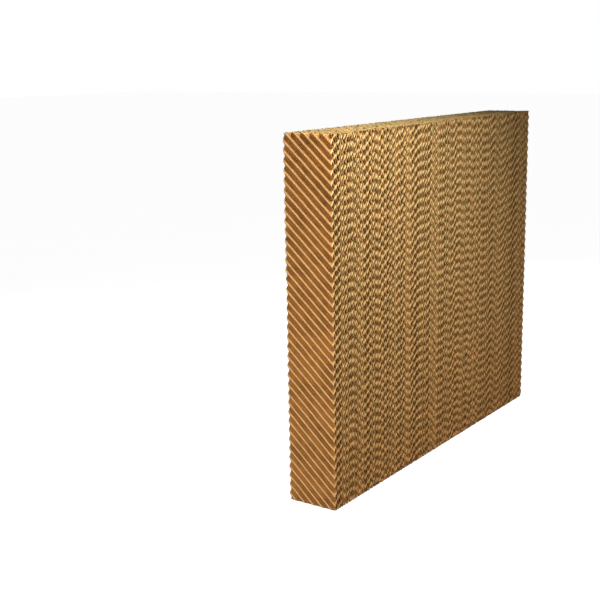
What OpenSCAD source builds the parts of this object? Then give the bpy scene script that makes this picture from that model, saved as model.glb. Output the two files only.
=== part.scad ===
// Evaporative cooling pad: a block of thin corrugated paper sheets glued crest to crest.
// The sheets stand side by side along X. Their flutes slope one way and then the other, so
// that water runs down and air crosses from the front face (-Y) to the back face (+Y).
// The two end sheets are thin paper. Between them each solid is a glued pair of sheets with
// its true fluted sides, and the flutes that the pair closes between its sheets are solid.
// The origin is the middle of the bottom face, with Z up.

/* [Pad] */
// Width of the pad across the stacked sheets
pad_w = 1200; // [300:1:1800]
// Depth of the pad along the air flow
pad_d = 150; // [50:1:300]
// Height of the pad as it stands
pad_h = 1000; // [300:1:2000]

/* [Corrugated sheet] */
// Room that one sheet takes across the pad, which sets how many sheets fit
sheet_room = 7.6; // [5:0.1:12]
// Height from one flute to the next up the air face
flute_rise = 26; // [16:0.1:40]
// Slope of the flutes from level
flute_angle = 42; // [30:1:60]
// Thickness of the stiffened paper
paper_t = 0.3; // [0.2:0.05:0.6]
// Glue line between the crests of neighbouring sheets
glue_t = 0.1; // [0.05:0.05:0.3]

/* [How the sheets are laid] */
// Longest drift of the flutes between sheets, in flutes
drift = 0.6; // [0:0.05:1.5]
// Number of sheets in which that drift comes round again
drift_sheets = 29; // [8:1:120]
// Shorter drift on top of it, in flutes
wander = 0.35; // [0:0.05:1]
// Number of sheets in which the shorter drift comes round again
wander_sheets = 11; // [4:1:60]
// How far each sheet was laid off that line, in flutes
scatter = 0.17; // [0:0.01:0.5]

/* [Hidden] */
// Nodes that the glued pairs are shared among
group_n = 16;
pair_n = round(pad_w / sheet_room / 2) - 1;
sheet_n = 2 * pair_n + 2;
sheet_pitch = pad_w / sheet_n;
sheet_h = sheet_pitch - glue_t;
flute_pitch = flute_rise * cos(flute_angle);
half_pitch = flute_pitch / 2;
// Thickness of a sloping flank measured along X, which keeps paper_t square to the flank
flank_t = paper_t * (half_pitch * sqrt(half_pitch ^ 2 + sheet_h ^ 2 - paper_t ^ 2) - paper_t * sheet_h)
  / (half_pitch ^ 2 - paper_t ^ 2);
// Flutes to either side of the one that is placed, so that the section covers the whole sheet
flutes_each_way = ceil((pad_h * cos(flute_angle) + pad_d * sin(flute_angle)) / flute_pitch) + 1;
flute_len = 2 * (pad_h + pad_d);
// Turn that, with the square of a sheet's number, scatters the sheets unevenly
scatter_turn = 137.5;

// Middle of sheet i across the pad
function sheet_x(i) = (i + 0.5) * sheet_pitch - pad_w / 2;

// Even sheets rise towards the back, odd ones fall
function sheet_tilt(i) = i % 2 == 0 ? flute_angle : -flute_angle;

// How far up the front face a flute of sheet i lies, as a share of flute_rise
function sheet_shift(i) =
  let (
    s = drift * sin(360 * i / drift_sheets)
      + wander * sin(360 * i / wander_sheets)
      + scatter * sin(scatter_turn * i ^ 2)
  )
    s - floor(s);

// First sheet of each pair in group g
function pair_starts(g) =
  [for (k = [0:pair_n - 1]) if (floor(k * group_n / pair_n) == g - 1) 2 * k + 1];

// The right side of the paper, up across its flutes
function right_side() = [
  for (k = [-flutes_each_way:flutes_each_way])
    each [[k * flute_pitch, sheet_h / 2], [k * flute_pitch + half_pitch, flank_t - sheet_h / 2]]
];

// The left side of the paper, down across its flutes
function left_side() = [
  for (k = [flutes_each_way:-1:-flutes_each_way])
    each [[k * flute_pitch + half_pitch, -sheet_h / 2], [k * flute_pitch, sheet_h / 2 - flank_t]]
];

// A side of the paper, closed round the room that lies reach beyond it
function room_beyond(side, reach) =
  concat(side, [[side[len(side) - 1].x, reach], [side[0].x, reach]]);

// A section laid square to the flutes of sheet i and drawn along their slope
module along_flutes(i, section)
  translate([sheet_x(i), -pad_d / 2, sheet_shift(i) * flute_rise])
    rotate([sheet_tilt(i), 0, 0])
      rotate([0, -90, -90])
        linear_extrude(height = flute_len, center = true)
          polygon(section);

// The room round sheets i to j, clear of their crests and trimmed square to the pad's faces
module trimmed_room(i, j)
  translate([sheet_x(i) - sheet_pitch, -pad_d / 2, 0])
    cube([sheet_x(j) - sheet_x(i) + 2 * sheet_pitch, pad_d, pad_h]);

// One thin sheet
module sheet(i)
  intersection() {
    along_flutes(i, concat(right_side(), left_side()));
    trimmed_room(i, i);
  }

// Sheets i and i + 1 glued together, with the outer side of each cut to its flutes
module glued_pair(i)
  difference() {
    trimmed_room(i, i + 1);
    along_flutes(i, room_beyond(left_side(), -2 * sheet_pitch));
    along_flutes(i + 1, room_beyond(right_side(), 2 * sheet_pitch));
  }

module left_end_sheet() color("#b98646") sheet(0);

module right_end_sheet() color("#b98646") sheet(sheet_n - 1);

module glued_pairs(g) color(g % 2 == 0 ? "#c79b58" : "#b58a4c") for (i = pair_starts(g)) glued_pair(i);

left_end_sheet();
right_end_sheet();
for (g = [1:group_n]) glued_pairs(g);
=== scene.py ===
import math

import bpy
import numpy as np
from mathutils import Matrix, Vector


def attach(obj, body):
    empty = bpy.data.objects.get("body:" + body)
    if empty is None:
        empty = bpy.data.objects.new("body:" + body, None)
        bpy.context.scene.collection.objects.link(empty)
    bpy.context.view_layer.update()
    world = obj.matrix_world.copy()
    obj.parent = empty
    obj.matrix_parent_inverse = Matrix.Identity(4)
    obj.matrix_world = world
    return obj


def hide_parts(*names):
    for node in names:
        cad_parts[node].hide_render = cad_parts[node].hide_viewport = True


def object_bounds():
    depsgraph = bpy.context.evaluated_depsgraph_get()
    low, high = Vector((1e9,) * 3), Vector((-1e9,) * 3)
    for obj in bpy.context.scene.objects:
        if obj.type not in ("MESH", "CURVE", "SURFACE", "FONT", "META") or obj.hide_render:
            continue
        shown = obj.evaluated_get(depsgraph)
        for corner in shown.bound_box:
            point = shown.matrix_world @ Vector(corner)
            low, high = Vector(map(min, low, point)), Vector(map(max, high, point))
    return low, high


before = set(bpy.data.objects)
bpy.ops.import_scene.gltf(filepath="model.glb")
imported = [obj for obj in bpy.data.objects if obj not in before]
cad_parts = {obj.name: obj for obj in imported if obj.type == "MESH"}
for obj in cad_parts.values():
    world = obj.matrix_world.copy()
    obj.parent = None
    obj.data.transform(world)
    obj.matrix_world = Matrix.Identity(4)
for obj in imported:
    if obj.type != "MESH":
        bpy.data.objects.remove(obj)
cad_box = [list(corner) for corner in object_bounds()]

MM = 0.001

# The pad and its sheets, as the solids have them
PAD_LOW, PAD_HIGH = np.array(cad_box[0]), np.array(cad_box[1])
PAD_H = PAD_HIGH[2] - PAD_LOW[2]
GLUE_T = 0.1 * MM
PAIR_N = 78
SHEET_N = 2 * PAIR_N + 2
GROUP_N = 16
SHEET_PITCH = (PAD_HIGH[0] - PAD_LOW[0] + GLUE_T) / SHEET_N
SHEET_H = SHEET_PITCH - GLUE_T
FLUTE_RISE = 26 * MM
FLUTE_ANGLE = math.radians(42)
FLUTE_PITCH = FLUTE_RISE * math.cos(FLUTE_ANGLE)

# How far the flutes shift from sheet to sheet, as shares of FLUTE_RISE, each with the count of sheets
# or the turn that it goes by
DRIFT, DRIFT_SHEETS = 0.6, 29
WANDER, WANDER_SHEETS = 0.35, 11
SCATTER, SCATTER_TURN = 0.17, math.radians(137.5)

# The two end sheets, and which way along X each of them faces out
END_SIDES = {0: -1, SHEET_N - 1: 1}

# The paper, and the thicker rim that sawing left on it, which is at most a share of a short flute
PAPER_T = 0.35 * MM
BURR_T = 0.6 * MM
BURR_DEPTH = 4.4 * MM
RIM_SHARE = 0.3
# How frayed the cuts on the air faces and the level cuts are, where 1 is the most
FACE_FRAY = 0.8
LEVEL_FRAY = 0.45
# How far the saw left points of the paper short of the air faces and of the top
SAW_DEPTH = 1.0 * MM
TOP_SAW_DEPTH = 2.2 * MM
# A point this near to the bottom or the top lies on it
LEVEL_NEAR = 0.01 * MM
# How sharply the crests turn, where 1 is a fold
CREST_SHARPNESS = 0.8
# Crests press a little past the middle of the glue line, and what they would reach beyond that is flattened
CREST_PRESS = 0.03 * MM
CREST_SPARE = 0.1 * MM
# The outer crests of the two end sheets are uneven: how low they dip, and how long the dips are
LOW_CREST = 0.35 * MM
DENT_RISE, DENT_RUN = 62 * MM, 86 * MM
# The flutes wander by a share of FLUTE_RISE in a long and a short wave, and not close to the bottom and top
INNER_WOBBLE, END_WOBBLE = 0.035, 0.012
LONG_BEND, SHORT_BEND = 220 * MM, 95 * MM
HELD_RIM = 25 * MM
# The two end sheets are as pale as the palest of the rest
END_TONE = 1
# A sheet's unevenness is drawn from this seed plus the sheet's number
FIRST_SEED = 1000

# How finely a sheet is drawn: rows across each flute, and stretches along it between the frayed rims
INNER_ROWS, INNER_STRETCHES = 6, 2
END_ROWS, END_STRETCHES = 16, 8
# The least room between a row and a corner of the sheet, as a share of a row's step
CORNER_ROOM = 0.3
# How far the outermost rows stand in from their corners, as a share of FLUTE_RISE
CORNER_TIP = 0.01

# Colours of the paper and of its sawn edges, in linear light
PAPER_DARK = (0.2, 0.08, 0.02)
PAPER_LIGHT = (0.47, 0.2, 0.052)
# Pale crests of the end sheets: partly wear, partly a painted highlight
WORN_AND_LIT_CREST = (0.76, 0.47, 0.195)
# Pale frayed paper, also used as painted light on the upper sides of the flutes
FRAYED_AND_LIT = (0.86, 0.73, 0.32)
SAWN_DARK = (0.24, 0.165, 0.062)
SAWN_LIGHT = (0.76, 0.63, 0.27)
# How much the paper and its edges shine, as a share of 1
PAPER_SHINE = 0.04

# The floor: its width, how white it is by itself, how much light it throws back, how rough it is, and
# how far in under the pad its white fades out
FLOOR_W = 60
FLOOR_GLOW = 0.97
FLOOR_GREY = 0.25
FLOOR_ROUGHNESS = 0.9
FLOOR_FADE = 6 * MM
# How strongly the white surroundings light the pad
AMBIENT = 0.025

# The camera, worked out from the pad's corners in the photograph, with its lens and sensor in millimetres
CAMERA_AT = (-2.8402, -1.5676, 1.1822)
CAMERA_YAW = math.radians(54.525)
CAMERA_PITCH = math.radians(12.60)
CAMERA_ROLL = math.radians(-1.015)
CAMERA_LENS = 64.70
SENSOR_W = 36


def sheet_shift(i):
    """How far up the front face a flute of sheet i lies, as a share of FLUTE_RISE."""
    turn = DRIFT * math.sin(2 * math.pi * i / DRIFT_SHEETS)
    turn += WANDER * math.sin(2 * math.pi * i / WANDER_SHEETS)
    turn += SCATTER * math.sin(SCATTER_TURN * i ** 2)
    return turn - math.floor(turn)


def wave(phase):
    """The paper's wave across its flutes, from -1 to 1, with round crests and nearly straight flanks."""
    return np.arcsin(CREST_SHARPNESS * np.cos(2 * np.pi * phase)) / math.asin(CREST_SHARPNESS)


def wave_slope(phase):
    """The slope of wave by phase."""
    level = CREST_SHARPNESS * np.cos(2 * np.pi * phase)
    rate = -2 * np.pi * CREST_SHARPNESS * np.sin(2 * np.pi * phase)
    return rate / np.sqrt(1 - level * level) / math.asin(CREST_SHARPNESS)


def row_phases(corner_phases, rows_per_flute):
    """Phases of the rows that a sheet is drawn with: even steps, and a row at each of its four corners."""
    corners = np.sort(corner_phases)
    first, last = corners[0], corners[-1]
    steps = np.arange(math.ceil(first * rows_per_flute), math.floor(last * rows_per_flute) + 1)
    steps = steps / rows_per_flute
    room = CORNER_ROOM / rows_per_flute
    clear = np.min(np.abs(steps[:, None] - corners[None, :]), axis=1) > room
    at_corners = [first + CORNER_TIP, corners[1], corners[2], last - CORNER_TIP]
    return np.sort(np.concatenate([steps[clear], at_corners]))


def sheet_grid(i):
    """Sheet i's grid, a row along each line of one phase: y, z, phase and fray of each of its points."""
    rows_per_flute, stretches = INNER_ROWS, INNER_STRETCHES
    if i in END_SIDES:
        rows_per_flute, stretches = END_ROWS, END_STRETCHES
    grade = math.tan(FLUTE_ANGLE) * (1 if i % 2 == 0 else -1)
    y_front, y_back = PAD_LOW[1], PAD_HIGH[1]
    z_crest = sheet_shift(i) * FLUTE_RISE
    corners = [(z - z_crest - grade * (y - y_front)) / FLUTE_RISE
               for y in (y_front, y_back) for z in (0, PAD_H)]
    phases = row_phases(np.array(corners), rows_per_flute)

    # Where each row enters and leaves the sheet
    z_front = z_crest + phases * FLUTE_RISE
    y_floor = y_front - z_front / grade
    y_top = y_front + (PAD_H - z_front) / grade
    y_low = np.maximum(y_front, np.minimum(y_floor, y_top))
    y_high = np.minimum(y_back, np.maximum(y_floor, y_top))

    # A frayed rim at both ends of the row, and even stretches between
    run = y_high - y_low
    rim = np.minimum(BURR_DEPTH * math.cos(FLUTE_ANGLE), run * RIM_SHARE)
    inner = [y_low + rim + (run - 2 * rim) * k / stretches for k in range(stretches + 1)]
    y = np.stack([y_low, *inner, y_high], axis=1)
    z = np.clip(z_front[:, None] + grade * (y - y_front), 0, PAD_H)
    phase = np.repeat(phases[:, None], y.shape[1], axis=1)
    fray = np.zeros(y.shape)
    for col in (0, -1):
        level_cut = (z[:, col] < LEVEL_NEAR) | (z[:, col] > PAD_H - LEVEL_NEAR)
        fray[:, col] = np.where(level_cut, LEVEL_FRAY, FACE_FRAY)
    return y, z, phase, fray


def torn_and_bent(y, z, fray, torn, turns, wobble):
    """Places y, z of a sheet's points, once the saw has torn its edges and its flutes wander a little."""
    # The front, back and top edges are torn; the bottom stands level
    on_top = z > PAD_H - LEVEL_NEAR
    upright = (fray > 0) & ~on_top & (z > LEVEL_NEAR)
    y = np.where(upright, y - np.sign(y) * torn * SAW_DEPTH, y)
    bend = np.sin(2 * np.pi * z / LONG_BEND + turns[0])
    bend += np.sin(2 * np.pi * (z + y) / SHORT_BEND + turns[1])
    hold = np.clip(np.minimum(z, PAD_H - z) / HELD_RIM, 0, 1)
    z = np.where(on_top, z - torn * TOP_SAW_DEPTH, z + wobble * FLUTE_RISE * bend * hold)
    return y, z


def sheet_points(i):
    """Points of sheet i's two sides, fray, crest and tone of each point, and the shape of a side's grid."""
    rng = np.random.default_rng(FIRST_SEED + i)
    side = END_SIDES.get(i, 0)
    y, z, phase, fray = sheet_grid(i)
    torn = rng.uniform(0, 1, y.shape) * (fray > 0)
    turns = rng.uniform(0, 2 * np.pi, 4)
    tone = END_TONE if side else rng.uniform(0, 1)
    y, z = torn_and_bent(y, z, fray, torn, turns, END_WOBBLE if side else INNER_WOBBLE)

    # The middle of the paper
    x_mid = PAD_LOW[0] - GLUE_T / 2 + (i + 0.5) * SHEET_PITCH
    height = wave(phase)
    dent = np.sin(2 * np.pi * z / DENT_RISE + turns[2]) * np.sin(2 * np.pi * y / DENT_RUN + turns[3])
    open_reach = (SHEET_H - PAPER_T) / 2 - LOW_CREST * (0.5 + 0.5 * dent)
    glued_reach = (SHEET_PITCH - PAPER_T) / 2 + CREST_PRESS + CREST_SPARE
    reach = np.where(side * height > 0, open_reach, glued_reach)
    x = x_mid + reach * height

    # Its two sides, as far apart as keeps the thickness square to the flanks
    slope = reach * wave_slope(phase) / FLUTE_PITCH
    thick = PAPER_T + (BURR_T - PAPER_T) * fray
    half = thick * np.sqrt(1 + slope * slope) / 2
    left = np.stack([x - half, y, z], axis=2).reshape(-1, 3)
    right = np.stack([x + half, y, z], axis=2).reshape(-1, 3)
    points = np.concatenate([left, right])
    glued_half = SHEET_PITCH / 2 + CREST_PRESS
    x_low = x_mid - (SHEET_H / 2 if side < 0 else glued_half)
    x_high = x_mid + (SHEET_H / 2 if side > 0 else glued_half)
    points[:, 0] = np.clip(points[:, 0], x_low, x_high)

    marks = np.stack([fray, side * height, np.full(y.shape, tone)], axis=2).reshape(-1, 3)
    return points, np.concatenate([marks, marks]), y.shape


def sheet_faces(rows, cols):
    """Quads of a sheet's two sides and of the sawn rim round it, and for each quad whether it is sawn."""
    side_n = rows * cols
    index = np.arange(side_n).reshape(rows, cols)
    here, above = index[:-1, :-1].ravel(), index[1:, :-1].ravel()
    beside, across = index[:-1, 1:].ravel(), index[1:, 1:].ravel()
    quads = [np.stack([here, above, across, beside], 1)]
    quads.append(np.stack([here, beside, across, above], 1) + side_n)
    paper_n = 2 * len(here)
    for line in (index[:, 0], index[::-1, -1], index[0, ::-1], index[-1]):
        quads.append(np.stack([line[:-1], line[:-1] + side_n, line[1:] + side_n, line[1:]], 1))
    quads = np.concatenate(quads)
    sawn = (np.arange(len(quads)) >= paper_n).astype(np.int32)
    return quads, sawn


def sheets_object(name, sheets, materials):
    """One mesh of the given sheets, with the paper and its sawn edges in two material slots."""
    point_sets, quad_sets, sawn_sets, mark_sets = [], [], [], []
    point_n = 0
    for i in sheets:
        points, marks, shape = sheet_points(i)
        quads, sawn = sheet_faces(*shape)
        point_sets.append(points)
        quad_sets.append(quads + point_n)
        sawn_sets.append(sawn)
        mark_sets.append(marks)
        point_n += len(points)
    points, quads = np.concatenate(point_sets), np.concatenate(quad_sets)
    sawn, marks = np.concatenate(sawn_sets), np.concatenate(mark_sets)

    mesh = bpy.data.meshes.new(name)
    mesh.vertices.add(len(points))
    mesh.vertices.foreach_set("co", points.ravel())
    mesh.loops.add(quads.size)
    mesh.loops.foreach_set("vertex_index", quads.ravel().astype(np.int32))
    mesh.polygons.add(len(quads))
    mesh.polygons.foreach_set("loop_start", np.arange(0, quads.size, 4, dtype=np.int32))
    mesh.polygons.foreach_set("material_index", sawn)
    mesh.polygons.foreach_set("use_smooth", sawn == 0)
    for k, word in enumerate(("fray", "crest", "tone")):
        attribute = mesh.attributes.new(word, "FLOAT", "POINT")
        attribute.data.foreach_set("value", marks[:, k].astype(np.float32))
    mesh.update(calc_edges=True)
    mesh.validate()
    for material in materials:
        mesh.materials.append(material)
    piece = bpy.data.objects.new(name, mesh)
    bpy.context.scene.collection.objects.link(piece)
    return piece


def maths(tree, operation, *values, clamp=False):
    """The result of a new maths node in a node tree, whose values are numbers or other nodes' results."""
    node = tree.nodes.new("ShaderNodeMath")
    node.operation = operation
    node.use_clamp = clamp
    for k, value in enumerate(values):
        if isinstance(value, (int, float)):
            node.inputs[k].default_value = value
        else:
            tree.links.new(value, node.inputs[k])
    return node.outputs[0]


class Shading:
    """A new material with short ways to add the nodes that the paper uses."""

    def __init__(self, name, roughness):
        self.material = bpy.data.materials.new(name)
        self.material.use_nodes = True
        self.tree = self.material.node_tree
        self.shader = self.tree.nodes["Principled BSDF"]
        self.shader.inputs["Roughness"].default_value = roughness
        self.shader.inputs["Specular IOR Level"].default_value = PAPER_SHINE
        place = self.tree.nodes.new("ShaderNodeTexCoord").outputs["Object"]
        facing = self.tree.nodes.new("ShaderNodeNewGeometry").outputs["Normal"]
        self.place = place
        self.height = self.upward(place)
        self.facing_up = self.upward(facing)

    def upward(self, vector):
        node = self.tree.nodes.new("ShaderNodeSeparateXYZ")
        self.tree.links.new(vector, node.inputs[0])
        return node.outputs["Z"]

    def mark(self, word):
        node = self.tree.nodes.new("ShaderNodeAttribute")
        node.attribute_name = word
        return node.outputs["Fac"]

    def noise(self, scale, detail, stretch=(1, 1, 1)):
        mapping = self.tree.nodes.new("ShaderNodeMapping")
        mapping.inputs["Scale"].default_value = stretch
        self.tree.links.new(self.place, mapping.inputs["Vector"])
        node = self.tree.nodes.new("ShaderNodeTexNoise")
        node.inputs["Scale"].default_value = scale
        node.inputs["Detail"].default_value = detail
        self.tree.links.new(mapping.outputs["Vector"], node.inputs["Vector"])
        return node.outputs["Fac"]

    def scaled(self, value, times, plus, clamp=False):
        return maths(self.tree, "MULTIPLY_ADD", value, times, plus, clamp=clamp)

    def product(self, value, other):
        return maths(self.tree, "MULTIPLY", value, other)

    def ramp(self, factor, low, low_color, high, high_color):
        node = self.tree.nodes.new("ShaderNodeValToRGB")
        first, last = node.color_ramp.elements
        first.position, last.position = low, high
        first.color, last.color = (*low_color, 1), (*high_color, 1)
        self.tree.links.new(factor, node.inputs["Fac"])
        return node.outputs["Color"]

    def mix(self, factor, color, other):
        node = self.tree.nodes.new("ShaderNodeMix")
        node.data_type = "RGBA"
        self.tree.links.new(factor, node.inputs["Factor"])
        for socket, value in (("A_Color", color), ("B_Color", other)):
            target = next(s for s in node.inputs if s.identifier == socket)
            if isinstance(value, tuple):
                target.default_value = (*value, 1)
            else:
                self.tree.links.new(value, target)
        return next(s for s in node.outputs if s.identifier == "Result_Color")

    def color(self, socket):
        self.tree.links.new(socket, self.shader.inputs["Base Color"])

    def bump(self, height, distance, strength):
        node = self.tree.nodes.new("ShaderNodeBump")
        node.inputs["Distance"].default_value = distance
        node.inputs["Strength"].default_value = strength
        self.tree.links.new(height, node.inputs["Height"])
        self.tree.links.new(node.outputs["Normal"], self.shader.inputs["Normal"])


def kraft_paper():
    """Brown resin-stiffened paper: mottled, uneven from sheet to sheet, and pale where it is frayed, with
    painted light on the upper sides of the flutes and a painted highlight on the end sheets' outer crests.
    """
    look = Shading("kraft_paper", roughness=0.62)
    mottle = look.noise(scale=28, detail=6)
    fibres = look.noise(scale=420, detail=4, stretch=(1, 0.35, 1))
    tone = look.scaled(look.mark("tone"), times=0.22, plus=mottle)
    tone = look.scaled(fibres, times=0.25, plus=tone)
    paper = look.ramp(tone, low=0.45, low_color=PAPER_DARK, high=0.95, high_color=PAPER_LIGHT)

    # The outer crests of the two end sheets are pale along their fibres: partly wear, partly a painted
    # highlight
    worn_and_lit = look.scaled(fibres, times=0.5, plus=look.mark("crest"))
    worn_and_lit = look.scaled(worn_and_lit, times=2.2, plus=-1.75, clamp=True)
    paper = look.mix(worn_and_lit, paper, WORN_AND_LIT_CREST)

    # Frayed paper at the sawn rims is pale, paler on the upper sides of the flutes as painted light from
    # above, and paler towards the top
    frayed = look.product(look.mark("fray"), look.scaled(fibres, times=0.9, plus=0.35))
    lit_upper_sides_and_height = look.scaled(look.facing_up, times=1.4, plus=0.5, clamp=True)
    lit_upper_sides_and_height = look.product(lit_upper_sides_and_height, look.scaled(look.height, times=1.0, plus=0.46))
    fray_and_painted_light = maths(look.tree, "MINIMUM", look.product(frayed, lit_upper_sides_and_height), 1.0)
    look.color(look.mix(fray_and_painted_light, paper, FRAYED_AND_LIT))
    look.bump(fibres, distance=0.3 * MM, strength=0.4)
    return look.material


def sawn_edge():
    """The sawn rim of the paper: fuzzy, and paler towards the top."""
    look = Shading("sawn_edge", roughness=0.9)
    fuzz = look.noise(scale=300, detail=5)
    tone = look.scaled(look.mark("tone"), times=0.2, plus=fuzz)
    straw = look.ramp(tone, low=0.42, low_color=SAWN_DARK, high=0.75, high_color=SAWN_LIGHT)
    pale = look.product(look.mark("fray"), look.scaled(look.height, times=0.5, plus=0.55))
    look.color(look.mix(pale, PAPER_LIGHT, straw))
    look.bump(fuzz, distance=0.4 * MM, strength=0.5)
    return look.material


def seen_directly(tree):
    """A factor of 1 for rays that show the background itself, and 0 for rays that only light the object."""
    path = tree.nodes.new("ShaderNodeLightPath")
    seen = path.outputs["Is Camera Ray"]
    for word in ("Is Glossy Ray", "Is Transmission Ray"):
        seen = maths(tree, "MAXIMUM", seen, path.outputs[word])
    return seen


def clear_of_pad(tree):
    """The floor's glow: full round the pad, and none under it, where the floor is in the dark."""
    place = tree.nodes.new("ShaderNodeTexCoord").outputs["Object"]
    parts = tree.nodes.new("ShaderNodeSeparateXYZ")
    tree.links.new(place, parts.inputs[0])
    beyond = []
    for axis, half in (("X", PAD_HIGH[0]), ("Y", PAD_HIGH[1])):
        beyond.append(maths(tree, "SUBTRACT", maths(tree, "ABSOLUTE", parts.outputs[axis]), half))
    fade = tree.nodes.new("ShaderNodeMapRange")
    fade.inputs["From Min"].default_value = -FLOOR_FADE
    fade.inputs["From Max"].default_value = 0
    fade.inputs["To Max"].default_value = FLOOR_GLOW
    tree.links.new(maths(tree, "MAXIMUM", *beyond), fade.inputs["Value"])
    return fade.outputs["Result"]


def plain_floor():
    """A wide white floor that keeps a faint shadow of the pad."""
    bpy.ops.mesh.primitive_plane_add(size=FLOOR_W)
    floor = bpy.context.object
    floor.name = "floor"
    material = bpy.data.materials.new("floor_white")
    material.use_nodes = True
    tree = material.node_tree
    shader = tree.nodes["Principled BSDF"]
    shader.inputs["Base Color"].default_value = (FLOOR_GREY, FLOOR_GREY, FLOOR_GREY, 1)
    shader.inputs["Roughness"].default_value = FLOOR_ROUGHNESS
    shader.inputs["Specular IOR Level"].default_value = 0
    shader.inputs["Emission Color"].default_value = (1, 1, 1, 1)
    glow = maths(tree, "MULTIPLY", seen_directly(tree), clear_of_pad(tree))
    tree.links.new(glow, shader.inputs["Emission Strength"])
    floor.data.materials.append(material)


def world_light():
    """A white background that lights the pad only as strongly as AMBIENT says."""
    world = bpy.data.worlds.new("world")
    bpy.context.scene.world = world
    world.use_nodes = True
    tree = world.node_tree
    background = tree.nodes["Background"]
    background.inputs["Color"].default_value = (1, 1, 1, 1)
    strength = maths(tree, "MAXIMUM", seen_directly(tree), AMBIENT)
    tree.links.new(strength, background.inputs["Strength"])


def add_light(name, data, at, aim, power):
    """Put a light in the scene, turned to where it aims."""
    data.energy = power
    light = bpy.data.objects.new(name, data)
    light.location = at
    light.rotation_euler = (Vector(aim) - Vector(at)).to_track_quat("-Z", "Y").to_euler()
    bpy.context.scene.collection.objects.link(light)


def soft_light(name, at, aim, size, power):
    """A round soft light, in metres and watts."""
    data = bpy.data.lights.new(name, "AREA")
    data.shape = "DISK"
    data.size = size
    add_light(name, data, at, aim, power)


def soft_spot(name, at, aim, size, cone, power):
    """A light that fades out towards the edge of its cone, in metres, degrees and watts."""
    data = bpy.data.lights.new(name, "SPOT")
    data.shadow_soft_size = size
    data.spot_size = math.radians(cone)
    data.spot_blend = 1
    add_light(name, data, at, aim, power)


def studio_lights():
    """A key light high in front, a small one at the near corner, and soft ones for every side."""
    soft_light("near", at=(-0.72, -0.45, 1.5), aim=(-0.66, -0.3, 0), size=0.12, power=5.7)
    soft_spot("key", at=(-0.75, -1.7, 2.9), aim=(-0.5, 0, 0.15), size=0.04, cone=52, power=290)
    soft_light("front", at=(-1.2, -1.6, 0.3), aim=(-0.5, 0, 0.2), size=0.6, power=1)
    soft_light("side", at=(-2.1, -0.55, 0.55), aim=(-0.6, 0, 0.5), size=0.5, power=16)
    soft_light("back", at=(1.9, 1.9, 0.5), aim=(0.3, 0, 0.5), size=0.9, power=58)
    soft_light("back_top", at=(1.3, 1.5, 1.4), aim=(0.2, 0, 1), size=0.8, power=16)
    soft_light("right", at=(2.6, -2, 0.5), aim=(0, 0, 0.5), size=1.2, power=32)
    soft_light("back_left", at=(-0.9, 2.6, 0.5), aim=(-0.1, 0, 0.5), size=1.2, power=36)


def camera():
    """The camera, turned by its yaw, pitch and roll."""
    data = bpy.data.cameras.new("camera")
    data.sensor_fit = "HORIZONTAL"
    data.sensor_width = SENSOR_W
    data.lens = CAMERA_LENS
    level = math.cos(CAMERA_PITCH)
    look = Vector((level * math.sin(CAMERA_YAW), level * math.cos(CAMERA_YAW), -math.sin(CAMERA_PITCH)))
    right = Vector((math.cos(CAMERA_YAW), -math.sin(CAMERA_YAW), 0))
    up = right.cross(look)
    turned_right = math.cos(CAMERA_ROLL) * right + math.sin(CAMERA_ROLL) * up
    turned_up = -math.sin(CAMERA_ROLL) * right + math.cos(CAMERA_ROLL) * up
    turn = Matrix((turned_right, turned_up, -look)).transposed().to_4x4()
    cam = bpy.data.objects.new("camera", data)
    cam.matrix_world = Matrix.Translation(CAMERA_AT) @ turn
    bpy.context.scene.collection.objects.link(cam)
    bpy.context.scene.camera = cam


def sheets_by_node():
    """Which sheets each node of the solids stands for."""
    groups = {"left_end_sheet": [0], "right_end_sheet": [SHEET_N - 1]}
    for k in range(PAIR_N):
        group = f"glued_pairs_{k * GROUP_N // PAIR_N + 1}"
        groups.setdefault(group, []).extend([2 * k + 1, 2 * k + 2])
    return groups


def build():
    """The camera, the pad's paper, the floor and the lights."""
    camera()
    materials = [kraft_paper(), sawn_edge()]
    for node, sheets in sheets_by_node().items():
        piece = sheets_object("paper_" + node, sheets, materials)
        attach(piece, "root")
        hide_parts(node)
    plain_floor()
    studio_lights()
    world_light()


bpy.context.scene.view_settings.view_transform = "Standard"
build()
bpy.context.view_layer.update()
